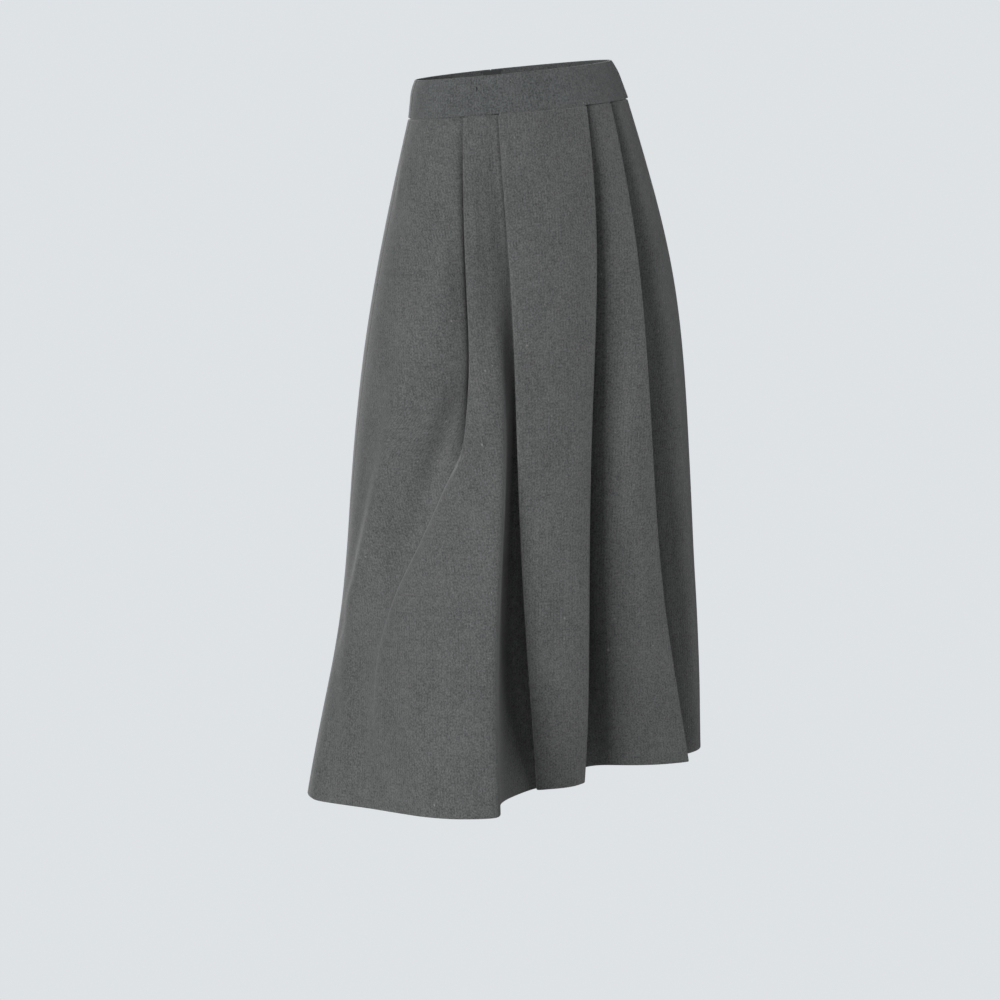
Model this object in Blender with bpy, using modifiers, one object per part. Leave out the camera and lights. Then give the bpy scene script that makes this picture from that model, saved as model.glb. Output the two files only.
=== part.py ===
# Pleated maxi skirt in grey wool, standing as it hangs when worn, with the front turned out over one forward leg.
# Metres, +Z up. The front faces -Y, the wearer's left is +X, and the origin is the middle of the waistband.

import math

import bmesh
import bpy
import numpy as np
from mathutils import Matrix

# Cut sizes
WAISTBAND_HEIGHT = 0.046
SKIRT_LENGTH = 0.831
CLOTH = 0.0016
WAISTBAND_WALL = 0.0026
SEAM_GAP = 0.0003
BAND_ABOVE_SEAM = 0.0006
SEAM_HEIGHT = -0.023

# How it is worn: one hip is higher, and the band leans with it
HIP_TILT = 0.09
BAND_LEAN = -0.0068
FLARE_RISE = 0.2

# Waist ring at the seam, and how much the band draws in above it
WAIST_HALF_WIDTH = 0.136
WAIST_HALF_DEPTH = 0.097
BAND_TAKES_WIDTH = 0.0116
BAND_TAKES_DEPTH = 0.0074
BAND_OUT_AT_SIDES = 0.0012
BAND_OUT_AT_PLEATS = 0.0024

# Pleat folds: radius of the fold at the waist
FOLD_RADIUS = 0.0014

# Zip
ZIP_LENGTH = 0.170
TAPE_WIDTH = 0.024
TAPE_WALL = 0.001
TAPE_BEHIND = 0.0006
BACK_RADIUS = 0.19
SLIDER_WIDTH = 0.006
SLIDER_HEIGHT = 0.009
SLIDER_DEPTH = 0.0022
SLIDER_UP_THE_BAND = 0.80
CHEEK_WALL = 0.0008
CHEEK_APART = 0.0036
CHEEK_HALF = 0.0013
CHEEK_OVER = 0.0010
CHEEK_SUNK = 0.0005
PIN_RADIUS = 0.0005
PIN_OUT = 0.0040
EYE_RADIUS = 0.0015
EYE_HOLE = 0.0008
EYE_LENGTH = 0.0030
TAB_LENGTH = 0.020
TAB_WIDTH = 0.0065
TAB_WALL = 0.0010
TAB_NECK = 0.0026

# The five heights that the tables below describe, as parts of the skirt's length
HEIGHTS = np.array([0.0, 0.25, 0.5, 0.75, 1.0])

# Outline of the worn skirt at each height: half width, half depth, shift to +X, shift to +Y
OUTLINE = np.array(
    [
        [WAIST_HALF_WIDTH, WAIST_HALF_DEPTH, 0.000, 0.000],
        [0.190, 0.138, 0.007, 0.000],
        [0.212, 0.155, 0.003, -0.003],
        [0.222, 0.165, 0.002, 0.000],
        [0.232, 0.175, 0.000, 0.000],
    ]
)

# Lines down the cloth, going round from the right side seam over the front, the left side and the back.
# An "ahead" line is a fold whose top layer goes on the way round, and a "behind" line one that ends it.
# Columns: name, kind, degrees round from the centre front at the five heights,
# millimetres out from the outline at the five heights.
FRONT_LINES = (
    ("side_right", "seam", (-90, -90, -90, -94, -82), (3, 1, 5, 12, 57)),
    ("a1", "plain", (-77, -76, -77, -87, -75.5), (3, 1, 5, 12, 50)),
    ("a2", "plain", (-64, -60, -62, -79, -68), (3, 2, 9, 14, 38)),
    ("a3", "plain", (-50, -43, -44, -70, -59), (2, -2, -6, 3, 33)),
    ("a4", "plain", (-45, -38, -38.5, -62, -52), (1.2, -17, -17, 6, 37)),
    ("F1", "ahead", (-43, -35, -35.5, -58, -49), (1.5, 4, 10, 14, 40)),
    ("b1", "plain", (-39, -31.5, -30, -46, -39.5), (1.2, 3, 18, 27, 54)),
    ("b2", "plain", (-35, -28.5, -25, -35, -31.5), (0.8, -1.5, 21, 38, 66)),
    ("roll_a", "plain", (-32, -26, -22, -26, -24.6), (0.2, -4, 22, 44, 67)),
    ("roll_b", "plain", (-29.5, -24, -19.6, -20.4, -19.2), (-0.4, -7.5, 21, 46, 65)),
    ("roll_c", "plain", (-27.5, -22, -18.8, -20.2, -19.2), (-0.8, -12, 10, 28, 44)),
    ("roll_d", "plain", (-26, -20.5, -18.8, -20.8, -20), (-1.1, -16, -16, -14, 4)),
    ("recess", "plain", (-25, -19.3, -16.8, -19.4, -18.6), (-1.3, -19, -38, -62, -30)),
    ("F2", "ahead", (-23.8, -18.3, -14.8, -11.1, -4.4), (2.8, 3, 0, -20, -59)),
    ("c1", "plain", (-12, -9, -7.5, -6, -0.4), (3.4, 4.5, 1, -13, -56)),
    ("c2", "plain", (0, -1.5, -0.5, -0.7, 4.7), (3.4, 5, 2, -6.5, -51)),
    ("c3", "plain", (12, 6, 6, 4.1, 10), (3.4, 4.5, 1, -3.2, -49)),
    ("F3", "behind", (23.8, 14.3, 11, 10, 16.6), (2.8, 2, -3, -4.7, -55)),
    ("hollow", "plain", (26, 16.5, 13.4, 18.5, 29), (-1.3, -24, -50, -66, -106)),
    ("swell_a", "plain", (28, 18.5, 16.5, 20.5, 38), (-0.9, -22, -46, -64, -104)),
    ("swell_b", "plain", (30.5, 21, 19.5, 20, 43.5), (-0.3, -17, -38, -54, -94)),
    ("d1", "plain", (34.5, 25.5, 25, 26.5, 47.5), (0.5, -10, -22, -35, -72)),
    ("d2", "plain", (39, 31, 32, 36, 52.5), (1.2, -3, -7, -17, -40)),
    ("F4", "behind", (43, 35.5, 37, 45.5, 61), (1.5, 2, 2, -4.5, 0)),
    ("e1", "plain", (50, 42, 46, 56, 69), (2, -18, -30, -36, -18)),
    ("e2", "plain", (66, 62, 64, 70, 80), (5, 4, 10, 16, 18)),
    ("side_left", "seam", (90, 90, 92, 95, 98), (3, 6, 12, 13, 13)),
)

BACK_LINES = (
    ("g1", "plain", (104, 106, 107, 109, 112), (3.4, 3, 3, 4, 6)),
    ("g2", "plain", (121, 121, 122, 122, 121), (4.4, -3, -4, -4, -4)),
    ("F5", "ahead", (137, 137, 136, 135, 134), (2.2, 2, 4, 8, 12)),
    ("h1", "plain", (142, 142, 141, 140, 139), (0.8, 0, 2, 4, 6)),
    ("h2", "plain", (149, 149, 148, 147, 146), (-0.4, -3, -3, -4, -4)),
    ("F6", "ahead", (156, 157, 156, 154, 153), (2.8, 3, 6, 10, 14)),
    ("i1", "plain", (168, 168, 167, 166, 165), (3, 4, 5, 8, 10)),
    ("back", "seam", (180, 180, 180, 180, 180), (2.8, 4, 5, 6, 8)),
)

# The right of the back is the left mirrored, up to these two lines, which swing out to the forward leg
BACK_MIRRORED = {"i1": "i2", "F6": "F7", "h2": "k1", "h1": "k2", "F5": "F8"}
BACK_RIGHT_LINES = (
    ("g3", "plain", (239, 239, 238, 240, 243), (4.4, -3, -4, 2, 12)),
    ("g4", "plain", (256, 254, 253, 253, 262), (3.4, 2, 4, 9, 38)),
)

# Pleats. Columns: fold, depth of the tuck at the five heights, how far the layers part at the five heights,
# radius of the fold at the hem.
PLEATS = (
    ("F1", (0.032, 0.032, 0.020, 0.006, 0.006), (0.001, 0.036, 0.040, 0.006, 0), 0.006),
    ("F2", (0.046, 0.044, 0.036, 0.030, 0.025), (0.0015, 0.018, 0.030, 0.030, 0.002), 0.003),
    ("F3", (0.046, 0.044, 0.040, 0.036, 0.030), (0.001, 0.028, 0.050, 0.060, 0.044), 0.004),
    ("F4", (0.032, 0.034, 0.036, 0.034, 0.028), (0.001, 0.036, 0.050, 0.054, 0.040), 0.004),
    ("F5", (0.026, 0.031, 0.034, 0.030, 0.026), (0, 0.012, 0.018, 0.022, 0.026), 0.006),
    ("F6", (0.040, 0.042, 0.042, 0.038, 0.030), (0, 0.010, 0.018, 0.024, 0.030), 0.006),
    ("F7", (0.040, 0.042, 0.042, 0.038, 0.030), (0, 0.010, 0.018, 0.024, 0.030), 0.006),
    ("F8", (0.026, 0.031, 0.034, 0.030, 0.026), (0, 0.012, 0.018, 0.022, 0.026), 0.006),
)

FOLD_POINTS = ("under", "turn_a", "turn_b", "turn_c", "turn_d", "edge_a", "edge_b", "edge_c", "edge_d")

# The fold that the forward leg pulls open, and where along the length it starts and ends opening
OPENED_FOLD = "F1"
OPENS_FROM = 0.40
OPENS_TO = 0.54

# Rows of the panels, as parts of the length
ROWS = (0, 0.03, 0.08, 0.14, 0.20, 0.27, 0.34, 0.39, 0.43, 0.46, 0.50, 0.57, 0.65, 0.74, 0.83, 0.92, 1)

# Columns of the panels: the widest step between two, and the extra column beside each seam as part of a step
COLUMN_SPACING = 0.030
SEAM_COLUMN = 0.08

# Edges sharper than this stay sharp in the smooth shading
SHARP_DEGREES = 40


def mirrored_lines():
    """The back lines from the centre back round to the right, taken from those on the left."""
    made = []
    for name, kind, degrees, out in reversed(BACK_LINES):
        if name in BACK_MIRRORED:
            turned = tuple(360 - angle for angle in degrees)
            made.append((BACK_MIRRORED[name], kind.replace("ahead", "behind"), turned, out))
    return tuple(made)


LINES = FRONT_LINES + BACK_LINES + mirrored_lines() + BACK_RIGHT_LINES


def between_heights(values, at):
    """Natural cubic spline over the five heights: values has a row for each, the result one for each of at."""
    values = np.asarray(values, float)
    count = len(HEIGHTS)
    step = np.diff(HEIGHTS)
    matrix = np.eye(count)
    right = np.zeros_like(values)
    for i in range(1, count - 1):
        matrix[i, i - 1 : i + 2] = step[i - 1], 2 * (step[i - 1] + step[i]), step[i]
        right[i] = 6 * ((values[i + 1] - values[i]) / step[i] - (values[i] - values[i - 1]) / step[i - 1])
    bend = np.linalg.solve(matrix, right.reshape(count, -1)).reshape(values.shape)
    cell = np.clip(np.searchsorted(HEIGHTS, at) - 1, 0, count - 2)
    shape = (-1,) + (1,) * (values.ndim - 1)
    width = step[cell].reshape(shape)
    a = (HEIGHTS[cell + 1] - at).reshape(shape) / width
    b = 1 - a
    curved = (a**3 - a) * bend[cell] + (b**3 - b) * bend[cell + 1]
    return a * values[cell] + b * values[cell + 1] + curved * width**2 / 6


def eased(start, end, at):
    """0 before start, 1 after end and smooth between."""
    part = np.clip((at - start) / (end - start), 0, 1)
    return part * part * (3 - 2 * part)


def plan_point(outline, degrees, out):
    """Plan position at an angle round the outline, moved out from it."""
    turn = np.radians(degrees)
    x = outline[:, 2] + (outline[:, 0] + out) * np.sin(turn)
    y = outline[:, 3] - (outline[:, 1] + out) * np.cos(turn)
    return np.stack([x, y], axis=-1)


def fold_controls(index, way, at, outline, degrees, out, pleat):
    """Nine control points of one pleat: under layer, turn inside, return layer, fold edge, start of the top."""
    _, tucks, parts, hem_radius = pleat
    near = [(index + way * i) % len(LINES) for i in range(4)]
    start = degrees[:, index]
    ahead = start[:, None] + (degrees[:, near] - start[:, None] + 180) % 360 - 180
    tuck = between_heights(tucks, at)
    apart = np.maximum(between_heights(parts, at), 0)
    radius = FOLD_RADIUS + (hem_radius - FOLD_RADIUS) * eased(0, 1, at)
    turn = np.radians(start)
    across = (outline[:, 0] + out[:, index]) * np.cos(turn)
    along = (outline[:, 1] + out[:, index]) * np.sin(turn)
    per_degree = np.hypot(across, along) * math.pi / 180

    def layer(inside, deep):
        """A point this far from the fold along the top layer, and this deep under it."""
        angle = start + way * inside / per_degree
        level = [np.interp(way * angle[i], way * ahead[i], out[i, near]) for i in range(len(at))]
        return plan_point(outline, angle, np.array(level) - deep)

    lead = 2.4 * radius
    inner = np.maximum(tuck - lead, lead * 0.5)
    edge = 0 * tuck
    return_depth = 2 * radius + 0.45 * apart
    under_depth = return_depth + 2 * radius
    return [
        layer(edge, 4 * radius + apart),
        layer(inner, under_depth),
        layer(tuck, under_depth),
        layer(tuck, return_depth),
        layer(inner, return_depth),
        layer(lead, 2 * radius),
        layer(edge, 2 * radius),
        layer(edge, edge),
        layer(lead, edge),
    ]


def ring_controls(at):
    """Control points of the closed curve that the cloth follows at each height, and their names."""
    outline = between_heights(OUTLINE, at)
    degrees = between_heights(np.array([line[2] for line in LINES], float).T, at)
    out = between_heights(np.array([line[3] for line in LINES], float).T, at) / 1000
    plain = [plan_point(outline, degrees[:, i], out[:, i]) for i in range(len(LINES))]
    pleats = {pleat[0]: pleat for pleat in PLEATS}
    points = []
    names = []
    for i, (name, kind, _, _) in enumerate(LINES):
        if name not in pleats:
            points.append(plain[i])
            names.append(name)
            continue
        way = 1 if kind == "ahead" else -1
        nine = fold_controls(i, way, at, outline, degrees, out, pleats[name])
        if name == OPENED_FOLD:
            before, middle, after = plain[i - 1], plain[i], plain[i + 1]
            opened = eased(OPENS_FROM, OPENS_TO, at)[:, None]
            for j in range(9):
                s = (j - 4) / 5
                flat = middle + s * (after - before) / 2 + s * s * (after + before - 2 * middle) / 2
                nine[j] = nine[j] * (1 - opened) + flat * opened
        labels = [f"{name}_{point}" for point in FOLD_POINTS]
        points += nine[::way]
        names += labels[::way]
    return np.stack(points, axis=1), names


def curve_weights(places, count):
    """Weights of a closed uniform cubic B-spline's control points at each place round it."""
    cell = np.floor(places).astype(int)
    s = places - cell
    four = np.stack([(1 - s) ** 3, 3 * s**3 - 6 * s**2 + 4, -3 * s**3 + 3 * s**2 + 3 * s + 1, s**3], axis=-1) / 6
    weights = np.zeros((len(places), count))
    for i in range(4):
        np.add.at(weights, (np.arange(len(places)), (cell + i - 1) % count), four[:, i])
    return weights


def hang(at, plan):
    """Height of the cloth: it hangs its own length from the tilted seam, less what the flare takes up."""
    turn = np.arctan2(plan[..., 0] / WAIST_HALF_WIDTH, -plan[..., 1] / WAIST_HALF_DEPTH)
    seam_x = WAIST_HALF_WIDTH * np.sin(turn)
    seam_y = -WAIST_HALF_DEPTH * np.cos(turn)
    away = (plan[..., 0] - seam_x) ** 2 + (plan[..., 1] - seam_y) ** 2
    drop = at[:, None] * SKIRT_LENGTH
    return SEAM_HEIGHT + HIP_TILT * seam_x - drop + FLARE_RISE * away / (2 * np.maximum(drop, 0.05))


def panel_places(names, controls, first, last):
    """Places round the curve from one seam to the next: close together round folds, evenly spread elsewhere."""
    begin = names.index(first)
    end = names.index(last)
    if end <= begin:
        end += len(names)
    places = []
    for i in range(begin, end):
        here = names[i % len(names)]
        following = names[(i + 1) % len(names)]
        length = np.linalg.norm(controls[:, (i + 1) % len(names)] - controls[:, i % len(names)], axis=1).max()
        steps = max(1, math.ceil(length / COLUMN_SPACING))
        if ("turn" in here and "turn" in following) or ("edge" in here and "edge" in following):
            steps = 2
        places += [i + j / steps for j in range(steps)]
    places.append(float(end))
    beside = SEAM_COLUMN
    places[1:1] = [begin + beside]
    places[-1:-1] = [end - beside]
    return np.array(places)


def panel_grid(first, last):
    """Middle surface of one panel, a row for each height, trimmed back half the gap at both seams."""
    at = np.array(ROWS, float)
    controls, names = ring_controls(at)
    places = panel_places(names, controls, first, last)
    plan = np.einsum("pc,rcx->rpx", curve_weights(places, len(names)), controls)
    for side, inner in ((0, 1), (-1, -2)):
        along = plan[:, inner] - plan[:, side]
        plan[:, side] += along / np.linalg.norm(along, axis=1)[:, None] * SEAM_GAP / 2
    return np.concatenate([plan, hang(at, plan)[..., None]], axis=-1)


def band_point(degrees, up, out):
    """Points of the waistband at an angle round it, a part of its height up and a distance out from its middle."""
    turn = np.radians(degrees)
    proud = BAND_OUT_AT_SIDES + (BAND_OUT_AT_PLEATS - BAND_OUT_AT_SIDES) * np.cos(turn) ** 2 + out
    x = (WAIST_HALF_WIDTH - BAND_TAKES_WIDTH * up + proud) * np.sin(turn)
    y = -(WAIST_HALF_DEPTH - BAND_TAKES_DEPTH * up + proud) * np.cos(turn)
    z = SEAM_HEIGHT + BAND_ABOVE_SEAM + HIP_TILT * WAIST_HALF_WIDTH * np.sin(turn) + WAISTBAND_HEIGHT * up
    return np.stack([x + BAND_LEAN * up, y, z], axis=-1)


def band_grid(start, end, columns):
    """Middle surface of one waistband piece between two angles."""
    half_gap = math.degrees(SEAM_GAP / 2 / WAIST_HALF_DEPTH)
    degrees = np.linspace(start + half_gap, end - half_gap, columns)
    up = np.linspace(1, 0, 4)
    return band_point(degrees[None, :], up[:, None], 0)


def grid_faces(rows, columns):
    """Faces of a grid of points, facing out when the rows go down and the columns go round."""
    index = np.arange(rows * columns).reshape(rows, columns)
    corners = (index[:-1, :-1], index[1:, :-1], index[1:, 1:], index[:-1, 1:])
    return np.stack([corner.ravel() for corner in corners], axis=1).tolist()


def material(name, colour, roughness, metallic=0.0):
    """A plain surface of one colour."""
    made = bpy.data.materials.new(name)
    made.use_nodes = True
    shader = made.node_tree.nodes["Principled BSDF"]
    shader.inputs["Base Color"].default_value = (*colour, 1)
    shader.inputs["Roughness"].default_value = roughness
    shader.inputs["Metallic"].default_value = metallic
    return made


def add_object(collection, name, points, faces, surface):
    """One named object from points and faces."""
    mesh = bpy.data.meshes.new(name)
    mesh.from_pydata(np.asarray(points).reshape(-1, 3).tolist(), [], faces)
    mesh.shade_smooth()
    mesh.set_sharp_from_angle(angle=math.radians(SHARP_DEGREES))
    mesh.materials.append(surface)
    made = bpy.data.objects.new(name, mesh)
    collection.objects.link(made)
    return made


def add_cloth(collection, name, grid, wall, surface):
    """A cloth piece: its middle surface, thickened evenly to both sides."""
    made = add_object(collection, name, grid, grid_faces(*grid.shape[:2]), surface)
    thicken = made.modifiers.new("Cloth thickness", "SOLIDIFY")
    thicken.thickness = wall
    thicken.offset = 0
    return made


def add_box(collection, name, low, high, surface):
    """A box between two corners."""
    shape = bmesh.new()
    bmesh.ops.create_cube(shape, size=1)
    middle = [(low[i] + high[i]) / 2 for i in range(3)]
    size = [high[i] - low[i] for i in range(3)]
    bmesh.ops.scale(shape, vec=size, verts=shape.verts)
    bmesh.ops.translate(shape, vec=middle, verts=shape.verts)
    return add_shape(collection, name, shape, surface)


def add_rod(collection, name, radius, length, forward, surface):
    """A round bar along X, this far forward of the origin."""
    shape = bmesh.new()
    turned = Matrix.Translation((0, forward, 0)) @ Matrix.Rotation(math.pi / 2, 4, "Y")
    bmesh.ops.create_cone(
        shape, cap_ends=True, segments=20, radius1=radius, radius2=radius, depth=length, matrix=turned
    )
    return add_shape(collection, name, shape, surface)


def add_shape(collection, name, shape, surface):
    """An object from a finished bmesh."""
    mesh = bpy.data.meshes.new(name)
    shape.to_mesh(mesh)
    shape.free()
    mesh.shade_smooth()
    mesh.set_sharp_from_angle(angle=math.radians(SHARP_DEGREES))
    mesh.materials.append(surface)
    made = bpy.data.objects.new(name, mesh)
    collection.objects.link(made)
    return made


def evaluated_mesh(made):
    """An object's mesh with its modifiers or its curve worked out."""
    bpy.context.view_layer.update()
    return bpy.data.meshes.new_from_object(made.evaluated_get(bpy.context.evaluated_depsgraph_get()))


def shape_with(made, tool, operation):
    """Joins a tool to an object, or cuts it away, and keeps the result as the object's mesh."""
    step = made.modifiers.new("Shape", "BOOLEAN")
    step.operation = operation
    step.object = tool
    result = evaluated_mesh(made)
    made.modifiers.clear()
    made.data = result
    bpy.data.objects.remove(tool, do_unlink=True)


def zip_frame():
    """Where the slider sits on the centre back, and its directions: across, out and up the band."""
    low = band_point(np.array(180.0), 0.0, WAISTBAND_WALL / 2)
    high = band_point(np.array(180.0), 1.0, WAISTBAND_WALL / 2)
    seat = low + (high - low) * SLIDER_UP_THE_BAND
    up = (high - low) / np.linalg.norm(high - low)
    out = np.array([0.0, 1.0, 0.0])
    out = out - up * (out @ up)
    out /= np.linalg.norm(out)
    across = np.cross(out, up)
    return seat + out * SEAM_GAP, across, out, up


def place_in_frame(made, origin, across, out, up):
    """Sets an object on the zip, its own X across, Y out and Z up."""
    frame = np.eye(4)
    frame[:3, 0] = across
    frame[:3, 1] = out
    frame[:3, 2] = up
    frame[:3, 3] = origin
    made.matrix_world = Matrix(frame.tolist())


def zip_slider(collection, surface):
    """The slider's body with two cheeks and the pin between them."""
    half = SLIDER_WIDTH / 2
    rise = SLIDER_HEIGHT / 2
    body = add_box(collection, "zip_slider", (-half, 0, -rise), (half, SLIDER_DEPTH, rise), surface)
    inner = CHEEK_APART / 2
    outer = inner + CHEEK_WALL
    for start, end in ((-outer, -inner), (inner, outer)):
        low = (start, SLIDER_DEPTH - CHEEK_SUNK, -CHEEK_HALF)
        high = (end, PIN_OUT + CHEEK_OVER, CHEEK_HALF)
        shape_with(body, add_box(collection, "cheek", low, high, surface), "UNION")
    pin = add_rod(collection, "pin", PIN_RADIUS, 2 * inner + CHEEK_WALL, PIN_OUT, surface)
    shape_with(body, pin, "UNION")
    place_in_frame(body, *zip_frame())
    return body


def add_tab(collection, name, surface):
    """The flat teardrop, a filled outline given its thickness and stood upright."""
    wide = TAB_WIDTH / 2
    narrow = EYE_LENGTH / 2
    lobe = TAB_LENGTH - wide
    outline = [(narrow, -EYE_RADIUS * 0.6), (narrow, -TAB_NECK)]
    outline += [(wide * math.cos(a), -lobe - wide * math.sin(a)) for a in np.radians(np.arange(0, 181, 15))]
    outline += [(-narrow, -TAB_NECK), (-narrow, -EYE_RADIUS * 0.6)]
    drawn = bpy.data.curves.new(name, "CURVE")
    drawn.dimensions = "2D"
    drawn.fill_mode = "BOTH"
    drawn.extrude = TAB_WALL / 2
    spline = drawn.splines.new("POLY")
    spline.points.add(len(outline) - 1)
    for point, (x, y) in zip(spline.points, outline):
        point.co = (x, y, 0, 1)
    spline.use_cyclic_u = True
    curve = bpy.data.objects.new(name, drawn)
    collection.objects.link(curve)
    flat = evaluated_mesh(curve)
    bpy.data.objects.remove(curve, do_unlink=True)
    shape = bmesh.new()
    shape.from_mesh(flat)
    bmesh.ops.remove_doubles(shape, verts=shape.verts, dist=0.00001)
    bmesh.ops.rotate(shape, matrix=Matrix.Rotation(math.pi / 2, 3, "X"), verts=shape.verts)
    bmesh.ops.recalc_face_normals(shape, faces=shape.faces)
    return add_shape(collection, name, shape, surface)


def zip_pull(collection, surface):
    """The teardrop tab with its eye round the slider's pin; its origin is on the pin."""
    pull = add_rod(collection, "zip_pull", EYE_RADIUS, EYE_LENGTH, 0, surface)
    shape_with(pull, add_tab(collection, "tab", surface), "UNION")
    shape_with(pull, add_rod(collection, "hole", EYE_HOLE, EYE_LENGTH * 2, 0, surface), "DIFFERENCE")
    origin, across, out, up = zip_frame()
    place_in_frame(pull, origin + out * PIN_OUT, across, out, up)
    return pull


def zip_tape(collection, surface):
    """The zip's tape inside the centre back, down the band and on down the seam."""
    at = np.array([row for row in ROWS if row * SKIRT_LENGTH <= ZIP_LENGTH], float)
    controls, names = ring_controls(at)
    middle = names.index("back")
    beside = np.array([middle - 0.1, middle, middle + 0.1])
    plan = np.einsum("pc,rcx->rpx", curve_weights(beside, len(names)), controls)
    along = plan[:, 2] - plan[:, 0]
    along /= np.linalg.norm(along, axis=1)[:, None]
    inward = np.stack([-along[:, 1], along[:, 0]], axis=-1)
    inside = plan[:, 1] + inward * (CLOTH / 2 + TAPE_BEHIND + TAPE_WALL / 2)
    across = np.linspace(-TAPE_WIDTH / 2, TAPE_WIDTH / 2, 5)
    bow = across**2 / (2 * BACK_RADIUS)
    flat = inside[:, None] + along[:, None] * across[None, :, None] + inward[:, None] * bow[None, :, None]
    on_skirt = np.concatenate([flat, hang(at, flat)[..., None]], axis=-1)
    up = np.array([0.97, 0.5, 0.12])
    degrees = 180 + np.degrees(across / WAIST_HALF_WIDTH)
    on_band = band_point(degrees[None, :], up[:, None], -(WAISTBAND_WALL + TAPE_WALL) / 2 - TAPE_BEHIND)
    grid = np.concatenate([on_band, on_skirt[1:]], axis=0)
    return add_cloth(collection, "zip_tape", grid, TAPE_WALL, surface)


def build():
    """Builds every piece of the skirt."""
    for old in list(bpy.data.objects):
        bpy.data.objects.remove(old, do_unlink=True)
    skirt = bpy.data.collections.new("pleated_maxi_skirt")
    bpy.context.scene.collection.children.link(skirt)
    panels = (
        ("front_panel", "side_right", "side_left"),
        ("back_panel_left", "side_left", "back"),
        ("back_panel_right", "back", "side_right"),
    )
    for name, first, last in panels:
        wool = material(f"{name} wool", (0.115, 0.120, 0.122), 0.9)
        add_cloth(skirt, name, panel_grid(first, last), CLOTH, wool)
    bands = (
        ("waistband_front", -90, 90, 33),
        ("waistband_back_left", 90, 180, 17),
        ("waistband_back_right", 180, 270, 17),
    )
    for name, start, end, columns in bands:
        wool = material(f"{name} wool", (0.100, 0.105, 0.107), 0.9)
        add_cloth(skirt, name, band_grid(start, end, columns), WAISTBAND_WALL, wool)
    zip_tape(skirt, material("zip tape", (0.030, 0.031, 0.033), 0.85))
    zip_slider(skirt, material("zip slider metal", (0.055, 0.056, 0.060), 0.35, 1.0))
    zip_pull(skirt, material("zip pull metal", (0.055, 0.056, 0.060), 0.35, 1.0))


build()
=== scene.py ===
# Looks of the pleated maxi skirt in grey wool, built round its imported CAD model.
# Metres, +Z up. The front faces -Y, the wearer's left is +X, and the origin is the middle of the waistband.

import math

import bpy
import numpy as np
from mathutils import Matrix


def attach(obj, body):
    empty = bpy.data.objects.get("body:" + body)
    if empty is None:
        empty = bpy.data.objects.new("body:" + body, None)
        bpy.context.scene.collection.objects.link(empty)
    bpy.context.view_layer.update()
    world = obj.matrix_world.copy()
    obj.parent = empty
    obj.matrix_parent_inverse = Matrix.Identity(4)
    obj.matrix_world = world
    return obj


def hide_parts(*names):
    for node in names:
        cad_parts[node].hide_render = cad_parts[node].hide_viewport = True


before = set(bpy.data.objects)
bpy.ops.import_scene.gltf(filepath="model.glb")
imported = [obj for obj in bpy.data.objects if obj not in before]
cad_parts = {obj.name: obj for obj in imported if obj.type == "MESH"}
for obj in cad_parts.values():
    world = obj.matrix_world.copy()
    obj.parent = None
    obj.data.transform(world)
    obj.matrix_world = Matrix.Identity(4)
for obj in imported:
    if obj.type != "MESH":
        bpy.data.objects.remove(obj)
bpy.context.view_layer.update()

# The skirt's cloth: a front cut in one piece and two backs, in heavy grey wool twill. Each hangs from the
# waist seam in knife pleats. Its side edges are pressed open inside, and its hem is turned up and blind
# stitched.

SKIRT_LENGTH = 0.831
CLOTH = 0.0013
SEAM_GAP = 0.0003
SEAM_PRESSED = 0.0002
SEAM_HEIGHT = -0.023
HEM_DEPTH = 0.038
SEAM_ALLOWANCE = 0.011
LAYERS_APART = 0.0015
WAIST_TUCK = 0.0012
WAIST_RISE = 0.0022
SEAM_DIP = 0.0021
SEAM_DIP_FROM = 0.0015
SEAM_DIP_TO = 0.0023
# Rows close together over the groove along the waist seam, in metres down from it
SEAM_ROWS = (0, 0.0008, SEAM_DIP_FROM, 0.0019, SEAM_DIP_TO, 0.0034)

HIP_TILT = 0.09
FLARE_RISE = 0.2
WAIST_HALF_WIDTH = 0.136
WAIST_HALF_DEPTH = 0.097
FOLD_RADIUS = 0.0014
LEAST_DROP = 0.05
CREASES_FROM = 0.04
HEM_LIES_FLAT_FROM = 0.010
HEM_LIES_FLAT_TO = 0.020

# The five heights that the tables describe, as parts of the length, and the outline of the worn skirt at
# each: half width, half depth, shift to +X, shift to +Y
HEIGHTS = np.array([0.0, 0.25, 0.5, 0.75, 1.0])
OUTLINE = np.array(
    [
        [WAIST_HALF_WIDTH, WAIST_HALF_DEPTH, 0.000, 0.000],
        [0.190, 0.138, 0.007, 0.000],
        [0.212, 0.155, 0.003, -0.003],
        [0.222, 0.165, 0.002, 0.000],
        [0.232, 0.175, 0.000, 0.000],
    ]
)

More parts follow.
